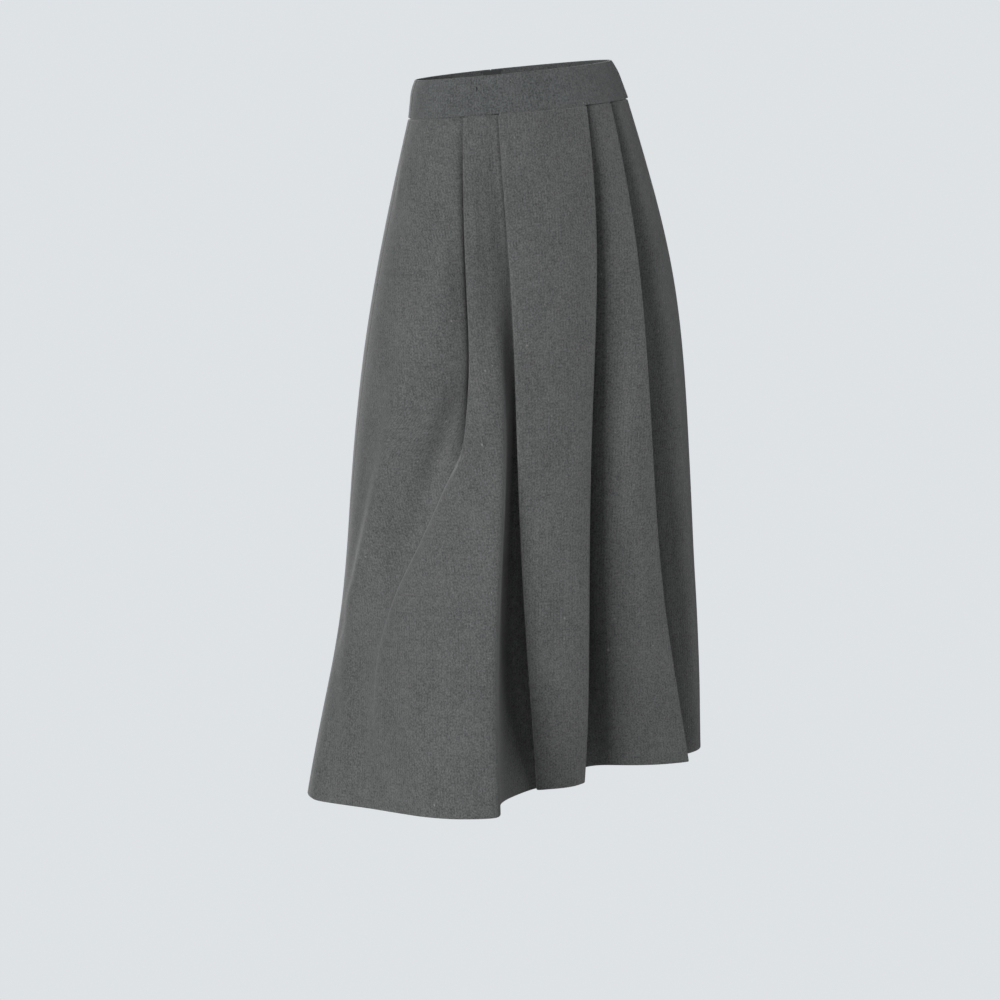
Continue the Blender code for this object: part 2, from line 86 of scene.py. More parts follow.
# Lines down the cloth, going round from the right side seam over the front, the left side and the back.
# An "ahead" line is a fold whose top layer goes on the way round, and a "behind" line one that ends it.
# Columns: name, kind, degrees round from the centre front at the five heights, millimetres out from the
# outline.
FRONT_LINES = (
    ("side_right", "seam", (-90, -90, -90, -94, -82), (3, 1, 5, 12, 57)),
    ("a1", "plain", (-77, -76, -77, -87, -75.5), (3, 1, 5, 12, 50)),
    ("a2", "plain", (-64, -60, -62, -79, -68), (3, 2, 9, 14, 38)),
    ("a3", "plain", (-50, -43, -44, -70, -59), (2, -2, -6, 3, 33)),
    ("a4", "plain", (-45, -38, -38.5, -62, -52), (1.2, -17, -17, 6, 37)),
    ("F1", "ahead", (-43, -35, -35.5, -58, -49), (1.5, 4, 10, 14, 40)),
    ("b1", "plain", (-39, -31.5, -30, -46, -39.5), (1.2, 3, 18, 27, 54)),
    ("b2", "plain", (-35, -28.5, -25, -35, -31.5), (0.8, -1.5, 21, 38, 66)),
    ("roll_a", "plain", (-32, -26, -22, -26, -24.6), (0.2, -4, 22, 44, 67)),
    ("roll_b", "plain", (-29.5, -24, -19.6, -20.4, -19.2), (-0.4, -7.5, 21, 46, 65)),
    ("roll_c", "plain", (-27.5, -22, -18.8, -20.2, -19.2), (-0.8, -12, 10, 28, 44)),
    ("roll_d", "plain", (-26, -20.5, -18.8, -20.8, -20), (-1.1, -16, -16, -14, 4)),
    ("recess", "plain", (-25, -19.3, -16.8, -19.4, -18.6), (-1.3, -19, -38, -62, -30)),
    ("F2", "ahead", (-23.8, -18.3, -14.8, -11.1, -4.4), (2.8, 3, 0, -20, -59)),
    ("c1", "plain", (-12, -9, -7.5, -6, -0.4), (3.4, 4.5, 1, -13, -56)),
    ("c2", "plain", (0, -1.5, -0.5, -0.7, 4.7), (3.4, 5, 2, -6.5, -51)),
    ("c3", "plain", (12, 6, 6, 4.1, 10), (3.4, 4.5, 1, -3.2, -49)),
    ("F3", "behind", (23.8, 14.3, 11, 10, 16.6), (2.8, 2, -3, -4.7, -55)),
    ("hollow", "plain", (26, 16.5, 13.4, 18.5, 29), (-1.3, -24, -50, -66, -106)),
    ("swell_a", "plain", (28, 18.5, 16.5, 20.5, 38), (-0.9, -22, -46, -64, -104)),
    ("swell_b", "plain", (30.5, 21, 19.5, 20, 43.5), (-0.3, -17, -38, -54, -94)),
    ("d1", "plain", (34.5, 25.5, 25, 26.5, 47.5), (0.5, -10, -22, -35, -72)),
    ("d2", "plain", (39, 31, 32, 36, 52.5), (1.2, -3, -7, -17, -40)),
    ("F4", "behind", (43, 35.5, 37, 45.5, 61), (1.5, 2, 2, -4.5, 0)),
    ("e1", "plain", (50, 42, 46, 56, 69), (2, -18, -30, -36, -18)),
    ("e2", "plain", (66, 62, 64, 70, 80), (5, 4, 10, 16, 18)),
    ("side_left", "seam", (90, 90, 92, 95, 98), (3, 6, 12, 13, 13)),
)
BACK_LINES = (
    ("g1", "plain", (104, 106, 107, 109, 112), (3.4, 3, 3, 4, 6)),
    ("g2", "plain", (121, 121, 122, 122, 121), (4.4, -3, -4, -4, -4)),
    ("F5", "ahead", (137, 137, 136, 135, 134), (2.2, 2, 4, 8, 12)),
    ("h1", "plain", (142, 142, 141, 140, 139), (0.8, 0, 2, 4, 6)),
    ("h2", "plain", (149, 149, 148, 147, 146), (-0.4, -3, -3, -4, -4)),
    ("F6", "ahead", (156, 157, 156, 154, 153), (2.8, 3, 6, 10, 14)),
    ("i1", "plain", (168, 168, 167, 166, 165), (3, 4, 5, 8, 10)),
    ("back", "seam", (180, 180, 180, 180, 180), (2.8, 4, 5, 6, 8)),
)

# The right of the back is the left mirrored, up to these two lines, which swing out to the forward leg
BACK_MIRRORED = {"i1": "i2", "F6": "F7", "h2": "k1", "h1": "k2", "F5": "F8"}
BACK_RIGHT_LINES = (
    ("g3", "plain", (239, 239, 238, 240, 243), (4.4, -3, -4, 2, 12)),
    ("g4", "plain", (256, 254, 253, 253, 262), (3.4, 2, 4, 9, 38)),
)

# Pleats. Columns: fold, depth of the tuck at the five heights, how far the layers part, radius of the
# hem's fold.
PLEATS = (
    ("F1", (0.032, 0.032, 0.020, 0.006, 0.006), (0.001, 0.036, 0.040, 0.006, 0), 0.006),
    ("F2", (0.046, 0.044, 0.036, 0.030, 0.025), (0.0015, 0.018, 0.030, 0.030, 0.002), 0.003),
    ("F3", (0.046, 0.044, 0.040, 0.036, 0.030), (0.001, 0.028, 0.050, 0.060, 0.044), 0.004),
    ("F4", (0.032, 0.034, 0.036, 0.034, 0.028), (0.001, 0.036, 0.050, 0.054, 0.040), 0.004),
    ("F5", (0.026, 0.031, 0.034, 0.030, 0.026), (0, 0.012, 0.018, 0.022, 0.026), 0.006),
    ("F6", (0.040, 0.042, 0.042, 0.038, 0.030), (0, 0.010, 0.018, 0.024, 0.030), 0.006),
    ("F7", (0.040, 0.042, 0.042, 0.038, 0.030), (0, 0.010, 0.018, 0.024, 0.030), 0.006),
    ("F8", (0.026, 0.031, 0.034, 0.030, 0.026), (0, 0.012, 0.018, 0.022, 0.026), 0.006),
)

# Inside a pleat: how far both layers stay level beside the fold, in radii, the least that the tuck keeps of
# that, and the part of the gap between the layers that the return layer takes
FOLD_LEAD = 2.4
LEAST_TUCK = 0.5
RETURN_SHARE = 0.45

FOLD_POINTS = ("under", "turn_a", "turn_b", "turn_c", "turn_d", "edge_a", "edge_b", "edge_c", "edge_d")

# The fold that the forward leg pulls open, and where along the length it starts and ends opening
OPENED_FOLD = "F1"
OPENS_FROM = 0.40
OPENS_TO = 0.54

# Fineness of the cloth's grid: rows along the length and up the hem, the widest column, steps round a fold
# and a turned edge. Then places where the grid keeps clear of the seams, in points of the curve, and the
# parts of the tuck at the two rows that go up under the waistband.
ROWS_DOWN = 98
ROWS_DOWN_FROM = 0.005
HEM_ROWS = 9
COLUMN_SPACING = 0.006
FOLD_STEPS = 5
TURN_STEPS = 5
TURNED_SPACING = 0.004
CLEAR_OF_SIDES = 0.02
BESIDE_SEAM = 0.05
TUCKED_ROWS = (1.0, 0.55)

# Soft creases and pulls in each panel, ridges where the height is above zero. Columns: a line of the
# table above, then millimetres on from it and part of the length at the crease's start, the same two at
# its end, and in millimetres its half width, its height and its bow. Those on the back and sides are
# guesses in the same manner.
CREASES = {
    "front_panel": (
        ("a1", -22, 0.060, -12, 0.135, 8, 1.6, 2),
        ("a2", -22, 0.075, -4, 0.140, 9, -1.5, 2),
        ("a2", 2, 0.020, 14, 0.110, 9, 0.9, 0),
        ("a3", 6, 0.110, 18, 0.300, 12, -2.4, 3),
        ("a4", 14, 0.060, 14, 0.430, 7, -9.0, 0),
        ("a4", -3, 0.080, -3, 0.420, 6, 3.0, 0),
        ("a3", 18, 0.380, 2, 0.520, 17, -7.5, 0),
        ("a3", 2, 0.480, 14, 0.660, 18, -6.5, 0),
        ("a3", -2, 0.230, -50, 0.350, 13, 2.4, -4),
        ("a2", 2, 0.330, -8, 0.500, 14, 3.2, -3),
        ("a2", -10, 0.480, -12, 0.650, 14, 3.4, 0),
        ("a2", -8, 0.620, -22, 0.740, 13, 3.0, 2),
        ("a1", 12, 0.330, 8, 0.680, 13, -2.6, -4),
        ("a1", 6, 0.720, -16, 0.780, 9, -1.6, 0),
        ("F1", -28, 0.640, 6, 0.800, 20, 1.6, 5),
        ("b1", 4, 0.560, -22, 0.760, 17, -2.2, 6),
        ("b1", 26, 0.600, 12, 0.900, 20, 1.9, -5),
        ("b2", 14, 0.620, -4, 0.830, 14, -1.3, 3),
        ("a3", 20, 0.800, -10, 0.960, 18, -2.2, 3),
        ("a2", 0, 0.780, 14, 0.980, 16, 1.8, 3),
        ("a1", 14, 0.840, 4, 0.980, 14, -1.5, 2),
        ("b1", -8, 0.860, -2, 0.990, 18, 1.5, 0),
        ("b1", 2, 0.050, 3, 0.190, 6, 0.7, 0),
        ("b2", 2, 0.160, 14, 0.290, 8, -1.0, -2),
        ("b2", 8, 0.280, -2, 0.450, 9, 1.1, 2),
        ("c1", -12, 0.040, 10, 0.150, 11, -0.7, 2),
        ("c2", -18, 0.180, 34, 0.125, 9, 0.6, 3),
        ("c1", -10, 0.245, 46, 0.175, 9, -0.9, -4),
        ("c2", 22, 0.260, -26, 0.345, 11, 0.8, 4),
        ("c1", 2, 0.300, 6, 0.540, 12, -0.9, -3),
        ("c3", -2, 0.400, -8, 0.640, 12, 1.0, 3),
        ("c1", 6, 0.600, 2, 0.860, 12, 1.1, -3),
        ("c3", -8, 0.700, 2, 0.960, 11, -1.1, 2),
        ("c2", -6, 0.840, 6, 0.990, 12, 0.8, 2),
        ("d1", -2, 0.070, 2, 0.240, 7, 0.9, 1),
        ("d1", 14, 0.220, 6, 0.450, 9, -1.3, -3),
        ("d2", -14, 0.420, 2, 0.640, 11, 1.4, 3),
        ("d1", 12, 0.600, 18, 0.820, 12, -1.7, 3),
        ("d2", 2, 0.700, -10, 0.880, 10, 1.3, 2),
        ("d1", 30, 0.800, 24, 0.960, 10, -1.2, 2),
        ("e1", 4, 0.040, 26, 0.180, 10, 1.1, -3),
        ("e1", -6, 0.150, 14, 0.420, 11, -1.5, 3),
        ("e2", -14, 0.300, 0, 0.620, 14, 1.6, -4),
        ("e1", 22, 0.560, 30, 0.860, 13, -1.9, 3),
        ("e2", 12, 0.080, 24, 0.260, 11, -1.1, 2),
        ("e2", 2, 0.680, 16, 0.960, 14, 1.4, 2),
    ),
    "back_panel_left": (
        ("g1", 2, 0.030, 24, 0.150, 10, 1.1, -3),
        ("g1", 14, 0.160, 24, 0.460, 14, -1.6, 4),
        ("g2", -10, 0.360, 2, 0.700, 15, 1.8, -4),
        ("g1", 16, 0.580, 4, 0.900, 17, -1.9, 3),
        ("g2", -4, 0.780, 12, 0.980, 14, 1.4, 2),
        ("h1", 2, 0.130, 6, 0.330, 8, -0.9, 1),
        ("h1", 8, 0.410, 16, 0.690, 11, 1.1, -2),
        ("i1", -8, 0.050, 6, 0.160, 12, -0.7, 1),
        ("i1", -14, 0.200, -6, 0.520, 13, 1.1, 3),
        ("i1", 14, 0.460, 4, 0.780, 15, -1.4, -3),
        ("i1", -8, 0.730, 2, 0.960, 14, 1.3, 2),
    ),
    "back_panel_right": (
        ("i2", 8, 0.060, -4, 0.190, 12, -0.7, 1),
        ("i2", -12, 0.250, 0, 0.590, 14, 1.2, 3),
        ("i2", 18, 0.560, 6, 0.840, 15, -1.4, -3),
        ("k2", -10, 0.190, -4, 0.420, 9, -0.9, 1),
        ("k2", 8, 0.470, 0, 0.770, 12, 1.2, -2),
        ("g3", 8, 0.040, -14, 0.160, 10, 1.1, 3),
        ("g3", 2, 0.120, 16, 0.410, 13, -1.5, 4),
        ("g4", -6, 0.330, -18, 0.670, 16, 1.8, -4),
        ("g4", 0, 0.590, 14, 0.850, 17, -2.0, 3),
        ("g3", 16, 0.800, 6, 0.990, 14, 1.4, 2),
    ),
}


def mirrored_lines():
    """The back lines from the centre back round to the right, taken from those on the left."""
    made = []
    for name, kind, degrees, out in reversed(BACK_LINES):
        if name in BACK_MIRRORED:
            turned = tuple(360 - angle for angle in degrees)
            made.append((BACK_MIRRORED[name], kind.replace("ahead", "behind"), turned, out))
    return tuple(made)


LINES = FRONT_LINES + BACK_LINES + mirrored_lines() + BACK_RIGHT_LINES


def between_heights(values, at):
    """Natural cubic spline: values has a row for each of the five heights, the result one for each of at."""
    values = np.asarray(values, float)
    count = len(HEIGHTS)
    step = np.diff(HEIGHTS)
    matrix = np.eye(count)
    right = np.zeros_like(values)
    for i in range(1, count - 1):
        matrix[i, i - 1 : i + 2] = step[i - 1], 2 * (step[i - 1] + step[i]), step[i]
        right[i] = 6 * ((values[i + 1] - values[i]) / step[i] - (values[i] - values[i - 1]) / step[i - 1])
    bend = np.linalg.solve(matrix, right.reshape(count, -1)).reshape(values.shape)
    cell = np.clip(np.searchsorted(HEIGHTS, at) - 1, 0, count - 2)
    shape = (-1,) + (1,) * (values.ndim - 1)
    width = step[cell].reshape(shape)
    a = (HEIGHTS[cell + 1] - at).reshape(shape) / width
    b = 1 - a
    curved = (a**3 - a) * bend[cell] + (b**3 - b) * bend[cell + 1]
    return a * values[cell] + b * values[cell + 1] + curved * width**2 / 6


def eased(start, end, at):
    """0 before start, 1 after end and smooth between: 3s^2 - 2s^3."""
    part = np.clip((at - start) / (end - start), 0, 1)
    return part * part * (3 - 2 * part)


def plan_point(outline, degrees, out):
    """Plan position at an angle round the outline's ellipse, moved out from it."""
    turn = np.radians(degrees)
    x = outline[:, 2] + (outline[:, 0] + out) * np.sin(turn)
    y = outline[:, 3] - (outline[:, 1] + out) * np.cos(turn)
    return np.stack([x, y], axis=-1)


def fold_controls(index, way, at, outline, degrees, out, pleat):
    """Nine control points of a pleat: under layer, inner turn, return layer, fold edge, start of the top."""
    _, tucks, parts, hem_radius = pleat
    near = [(index + way * i) % len(LINES) for i in range(4)]
    start = degrees[:, index]
    ahead = start[:, None] + (degrees[:, near] - start[:, None] + 180) % 360 - 180
    tuck = between_heights(tucks, at)
    apart = np.maximum(between_heights(parts, at), 0)
    radius = FOLD_RADIUS + (hem_radius - FOLD_RADIUS) * eased(0, 1, at)
    turn = np.radians(start)
    across = (outline[:, 0] + out[:, index]) * np.cos(turn)
    along = (outline[:, 1] + out[:, index]) * np.sin(turn)
    per_degree = np.hypot(across, along) * math.pi / 180

    def layer(inside, deep):
        """A point this far from the fold along the top layer, and this deep under it."""
        angle = start + way * inside / per_degree
        level = [np.interp(way * angle[i], way * ahead[i], out[i, near]) for i in range(len(at))]
        return plan_point(outline, angle, np.array(level) - deep)

    lead = FOLD_LEAD * radius
    inner = np.maximum(tuck - lead, lead * LEAST_TUCK)
    edge = 0 * tuck
    return_depth = 2 * radius + RETURN_SHARE * apart
    under_depth = return_depth + 2 * radius
    return [
        layer(edge, 4 * radius + apart),
        layer(inner, under_depth),
        layer(tuck, under_depth),
        layer(tuck, return_depth),
        layer(inner, return_depth),
        layer(lead, 2 * radius),
        layer(edge, 2 * radius),
        layer(edge, edge),
        layer(lead, edge),
    ]


def ring_controls(at):
    """Control points of the closed curve that the cloth follows at each height, and their names."""
    outline = between_heights(OUTLINE, at)
    degrees = between_heights(np.array([line[2] for line in LINES], float).T, at)
    out = between_heights(np.array([line[3] for line in LINES], float).T, at) / 1000
    plain = [plan_point(outline, degrees[:, i], out[:, i]) for i in range(len(LINES))]
    pleats = {pleat[0]: pleat for pleat in PLEATS}
    points = []
    names = []
    for i, (name, kind, _, _) in enumerate(LINES):
        if name not in pleats:
            points.append(plain[i])
            names.append(name)
            continue
        way = 1 if kind == "ahead" else -1
        nine = fold_controls(i, way, at, outline, degrees, out, pleats[name])
        if name == OPENED_FOLD:
            before, middle, after = plain[i - 1], plain[i], plain[i + 1]
            opened = eased(OPENS_FROM, OPENS_TO, at)[:, None]
            for j in range(9):
                s = (j - 4) / 5
                flat = middle + s * (after - before) / 2 + s * s * (after + before - 2 * middle) / 2
                nine[j] = nine[j] * (1 - opened) + flat * opened
        labels = [f"{name}_{point}" for point in FOLD_POINTS]
        points += nine[::way]
        names += labels[::way]
    return np.stack(points, axis=1), names


def on_curve(controls, places):
    """Points of each row's closed cubic B-spline at its own places, and the curve's direction there."""
    count = controls.shape[1]
    cell = np.floor(places).astype(int)
    s = places - cell
    weights = ((1 - s) ** 3, 3 * s**3 - 6 * s**2 + 4, -3 * s**3 + 3 * s**2 + 3 * s + 1, s**3)
    slopes = (-((1 - s) ** 2), 3 * s**2 - 4 * s, -3 * s**2 + 2 * s + 1, s**2)
    rows = np.arange(len(controls))[:, None]
    near = [controls[rows, (cell + i - 1) % count] for i in range(4)]
    point = sum(w[..., None] * c for w, c in zip(weights, near)) / 6
    along = sum(w[..., None] * c for w, c in zip(slopes, near)) / 2
    return point, along


def hang(at, plan):
    """Height of the cloth: it hangs its own length from the tilted seam, less what the flare takes up."""
    turn = np.arctan2(plan[..., 0] / WAIST_HALF_WIDTH, -plan[..., 1] / WAIST_HALF_DEPTH)
    seam_x = WAIST_HALF_WIDTH * np.sin(turn)
    seam_y = -WAIST_HALF_DEPTH * np.cos(turn)
    away = (plan[..., 0] - seam_x) ** 2 + (plan[..., 1] - seam_y) ** 2
    drop = at * SKIRT_LENGTH
    return SEAM_HEIGHT + HIP_TILT * seam_x - drop + FLARE_RISE * away / (2 * np.maximum(drop, LEAST_DROP))


def turned_edge():
    """Distances from a fold line and turns in radians, from the raw edge inside round to the outer layer."""
    back = np.linspace(SEAM_ALLOWANCE, LAYERS_APART, math.ceil(SEAM_ALLOWANCE / TURNED_SPACING))
    turns = np.linspace(math.pi, 0, TURN_STEPS * 2 + 1)
    radius = LAYERS_APART / 2
    distance = np.concatenate([back, radius - radius * np.sin(turns)])
    return distance, np.concatenate([np.full(len(back), math.pi), turns])


def panel_columns(names, controls, first, last):
    """Places round the curve for every row and column, and each column's turn at the seams."""
    begin = names.index(first)
    end = names.index(last)
    if end <= begin:
        end += len(names)
    middle = []
    for i in range(begin, end):
        here = names[i % len(names)]
        following = names[(i + 1) % len(names)]
        length = np.linalg.norm(controls[:, (i + 1) % len(names)] - controls[:, i % len(names)], axis=1).max()
        steps = max(1, math.ceil(length / COLUMN_SPACING))
        if ("turn" in here and "turn" in following) or ("edge" in here and "edge" in following):
            steps = max(FOLD_STEPS, steps)
        middle += [i + j / steps for j in range(steps)]
    distance, turns = turned_edge()
    clear = CLOTH / 2 - SEAM_PRESSED
    rows = len(controls)
    sides = []
    for seam, way in ((begin, 1), (end, -1)):
        start = np.full((rows, 1), float(seam))
        speed = np.linalg.norm(on_curve(controls, start + way * BESIDE_SEAM)[1], axis=-1)
        sides.append(start + way * (distance + clear)[None, :] / speed)
    return begin, np.array(middle), sides, turns


def crease_relief(creases, names, begin, places, known, sideways, down):
    """Sum of all creases in metres, each height exp(-(s / half width)^2 - (2t - 1)^4).

    t runs along the crease from 0 to 1, and s is the distance across it in millimetres, less its bow.
    """
    relief = np.zeros(sideways.shape)
    for line, on_start, part_start, on_end, part_end, half_width, height, bow in creases:
        place = names.index(line if line in names else f"{line}_edge_c")
        if place < begin:
            place += len(names)
        rows = range(len(down))
        line_at = [np.interp(place, places[i], known[i]) for i in rows]
        across = (sideways - np.array(line_at)[:, None]) * 1000 - on_start
        drop = (down[:, None] - part_start * SKIRT_LENGTH) * 1000
        slant = np.array([on_end - on_start, (part_end - part_start) * SKIRT_LENGTH * 1000])
        length = np.linalg.norm(slant)
        t = (across * slant[0] + drop * slant[1]) / length**2
        s = (across * slant[1] - drop * slant[0]) / length - bow * (1 - (2 * t - 1) ** 2)
        relief += height / 1000 * np.exp(-((s / half_width) ** 2) - (2 * t - 1) ** 4)
    return relief


def panel_surface(first, last, centre, creases):
    """Middle surface of a panel, its side edges turned in and its hem turned up, and its flat coordinates."""
    fold_turns = np.linspace(0, math.pi, TURN_STEPS * 2 + 1)[1:]
    radius = LAYERS_APART / 2
    below_seam = np.linspace(ROWS_DOWN_FROM, SKIRT_LENGTH - 3 * radius, ROWS_DOWN)
    main = np.concatenate([SEAM_ROWS, below_seam])
    fold = SKIRT_LENGTH - radius + radius * np.sin(fold_turns)
    hem_top = np.linspace(SKIRT_LENGTH - 3 * radius, SKIRT_LENGTH - HEM_DEPTH, HEM_ROWS)
    down = np.concatenate([main, fold, hem_top])
    hem_turn = np.concatenate([0 * main, fold_turns, 0 * hem_top + math.pi])
    at = np.clip(down / SKIRT_LENGTH, 0, 1)
    controls, names = ring_controls(at)
    begin, middle, sides, turns = panel_columns(names, controls, first, last)

    after_first = middle > sides[0][:, -1].max() + CLEAR_OF_SIDES
    before_last = middle < sides[1][:, -1].min() - CLEAR_OF_SIDES
    inner = middle[after_first & before_last]
    rows = len(down)
    places = np.concatenate([sides[0], np.tile(inner, (rows, 1)), sides[1][:, ::-1]], axis=1)
    seam_turn = np.concatenate([turns, 0 * inner, turns[::-1]])
    plan, along = on_curve(controls, places)
    along /= np.linalg.norm(along, axis=-1)[..., None]
    inward = np.stack([-along[..., 1], along[..., 0]], axis=-1)

    step = np.linalg.norm(np.diff(plan, axis=1), axis=-1)
    sideways = np.concatenate([np.zeros((rows, 1)), np.cumsum(step, axis=1)], axis=1)
    centre_place = names.index(centre)
    if centre_place < begin:
        centre_place += len(names)
    outside = slice(len(turns), -len(turns))
    zero = [np.interp(centre_place, places[i, outside], sideways[i, outside]) for i in range(rows)]
    sideways -= np.array(zero)[:, None]

    relief = crease_relief(creases, names, begin, places[:, outside], sideways[:, outside], sideways, down)
    quiet = eased(0, CREASES_FROM, at)[:, None]

    layer = radius - radius * np.cos(seam_turn)
    side_distance = np.minimum(sideways - sideways[:, :1], sideways[:, -1:] - sideways) - SEAM_ALLOWANCE
    near_seam = 1 - eased(HEM_LIES_FLAT_FROM, HEM_LIES_FLAT_TO, side_distance)
    hem_middle = radius + LAYERS_APART * near_seam
    turned = hem_middle - (hem_middle - layer) * np.cos(hem_turn)[:, None]
    depth = np.where(hem_turn[:, None] > 0, turned, layer[None, :])
    drawn_in = SEAM_DIP * (1 - eased(SEAM_DIP_FROM, SEAM_DIP_TO, down))[:, None]
    plan = plan + inward * (depth + drawn_in - relief * quiet)[..., None]
    height = hang(at[:, None], plan)
    height += np.where(hem_turn[:, None] > 0, (hem_middle - radius) * (1 - np.sin(hem_turn))[:, None], 0)

    tuck = np.array(TUCKED_ROWS)[:, None, None]
    above = plan[:1] + inward[:1] * WAIST_TUCK * tuck
    above_height = height[:1] + WAIST_RISE * tuck[..., 0]
    plan = np.concatenate([above, plan])
    height = np.concatenate([above_height, height])
    flat_u = np.concatenate([sideways[:1], sideways[:1], sideways])
    round_hem = fold_turns * radius + SKIRT_LENGTH
    flat_v = np.concatenate([[-WAIST_RISE, -WAIST_RISE / 2], main, round_hem, 2 * SKIRT_LENGTH - hem_top])
    flat = np.stack([flat_u, np.broadcast_to(flat_v[:, None], flat_u.shape)], axis=-1)
    return np.concatenate([plan, height[..., None]], axis=-1), flat


def grid_faces(rows, columns):
    """Faces of a grid of points, facing out when the rows go down and the columns go round."""
    index = np.arange(rows * columns).reshape(rows, columns)
    corners = (index[:-1, :-1], index[1:, :-1], index[1:, 1:], index[:-1, 1:])
    return np.stack([corner.ravel() for corner in corners], axis=1).tolist()


def add_piece(name, points, faces, material, flat=None):
    """One smooth-shaded object from points and faces, with its flat coordinates in metres as its UV map."""
    mesh = bpy.data.meshes.new(name)
    mesh.from_pydata(np.reshape(points, (-1, 3)).tolist(), [], list(faces))
    mesh.shade_smooth()
    mesh.materials.append(material)
    if flat is not None:
        corners = np.zeros(len(mesh.loops), np.int32)
        mesh.loops.foreach_get("vertex_index", corners)
        layer = mesh.uv_layers.new(name="flat")
        layer.data.foreach_set("uv", np.reshape(flat, (-1, 2))[corners].astype(np.float32).ravel())
    made = bpy.data.objects.new(name, mesh)
    bpy.context.scene.collection.objects.link(made)
    return made


class Wire:
    """A node's output. Arithmetic on it adds Math nodes to the same material."""

    def __init__(self, finish, socket):
        self.finish = finish
        self.socket = socket

    def math(self, operation, *values):
        return self.finish.add("ShaderNodeMath", {"operation": operation}, dict(enumerate(values)))

    def __add__(self, other):
        return self.math("ADD", self, other)

    def __sub__(self, other):
        return self.math("SUBTRACT", self, other)

    def __mul__(self, other):
        return self.math("MULTIPLY", self, other)


class Finish:
    """One material. add() makes a node of any type, and its own shader is the Principled one."""

    def __init__(self, name):
        self.material = bpy.data.materials.new(name)
        self.material.use_nodes = True
        self.nodes = self.material.node_tree.nodes
        self.shader = self.nodes["Principled BSDF"]

    def connect(self, node, inputs):
        """Sets a node's sockets, each from a value or from a wire."""
        for key, value in inputs.items():
            if isinstance(value, Wire):
                self.material.node_tree.links.new(value.socket, node.inputs[key])
            else:
                node.inputs[key].default_value = value

    def add(self, kind, settings, inputs, output=0):
        """A node of this type with its settings and sockets; the wire of one of its outputs."""
        node = self.nodes.new(kind)
        for key, value in settings.items():
            setattr(node, key, value)
        self.connect(node, inputs)
        return Wire(self, node.outputs[output])

    def set(self, **sockets):
        """Sets the shader's sockets, named with underscores."""
        self.connect(self.shader, {key.replace("_", " "): value for key, value in sockets.items()})
        return self.material

    def noise(self, vector, scale, detail=2.0, roughness=0.5):
        """Noise from 0 to 1."""
        inputs = {"Vector": vector, "Scale": scale, "Detail": detail, "Roughness": roughness}
        return self.add("ShaderNodeTexNoise", {}, inputs, "Fac")

    def stretched(self, vector, scale):
        """The same coordinates, scaled by a different amount along each axis."""
        return self.add("ShaderNodeVectorMath", {"operation": "MULTIPLY"}, {0: vector, 1: scale})

    def ramp(self, value, low, high):
        """0 at or under low, 1 at or over high."""
        inputs = {"Value": value, "From Min": low, "From Max": high}
        return self.add("ShaderNodeMapRange", {"clamp": True}, inputs)

    def blend(self, factor, first, second):
        """From the first colour to the second."""
        mixed = {"data_type": "RGBA"}
        return self.add("ShaderNodeMix", mixed, {0: factor, 6: first, 7: second}, 2)


DARK_YARN = (0.062, 0.065, 0.064, 1)
LIGHT_YARN = (0.200, 0.207, 0.206, 1)
LINT = (0.42, 0.42, 0.40, 1)
RIB = 0.0037
TWILL = 0.0016


def wool_finish(name, dark, light):
    """Brushed melange twill: light and dark yarns in upright ribs, a slanting twill line, nap and lint."""
    made = Finish(name)
    flat = made.add("ShaderNodeUVMap", {"uv_map": "flat"}, {})
    across = made.add("ShaderNodeSeparateXYZ", {}, {0: flat}, "X")
    down = made.add("ShaderNodeSeparateXYZ", {}, {0: flat}, "Y")
    wander = made.noise(made.stretched(flat, (90, 60, 1)), 1.0)
    rib_angle = across * (2 * math.pi / RIB) + wander * 5.0
    rib = rib_angle.math("SINE", rib_angle)
    twill_angle = (across + down * 0.9) * (2 * math.pi / TWILL)
    twill = twill_angle.math("SINE", twill_angle)
    yarn = made.noise(made.stretched(flat, (480, 210, 1)), 1.0, 2.0, 0.6)
    speck = made.noise(made.stretched(flat, (560, 430, 1)), 1.0, 2.0, 0.6)
    cloud = made.noise(made.stretched(flat, (28, 14, 1)), 1.0, 4.0, 0.55)
    mottle = made.noise(made.stretched(flat, (160, 110, 1)), 1.0, 3.0, 0.6)
    shade = rib * 0.03 + yarn * 0.25 + speck * 1.10 + cloud * 0.25 + mottle * 0.45 - 0.525
    wool = made.blend(made.ramp(shade, 0.22, 0.78), dark, light)
    lint_noise = made.noise(made.stretched(flat, (210, 150, 1)), 1.0, 0.0)
    lint = made.ramp(lint_noise, 0.855, 0.88)
    wool = made.blend(lint * 0.45, wool, LINT)
    height = rib * 0.05 + twill * 0.04 + yarn * 0.2 + speck * 0.6 + mottle * 0.35
    bump = made.add("ShaderNodeBump", {}, {"Strength": 0.75, "Distance": 0.0007, "Height": height})
    made.set(Base_Color=wool, Roughness=0.94, Normal=bump)
    made.set(Sheen_Weight=0.5, Sheen_Roughness=0.5, Specular_IOR_Level=0.2)
    return made.material


SKIRT_WOOL = wool_finish("skirt wool", DARK_YARN, LIGHT_YARN)

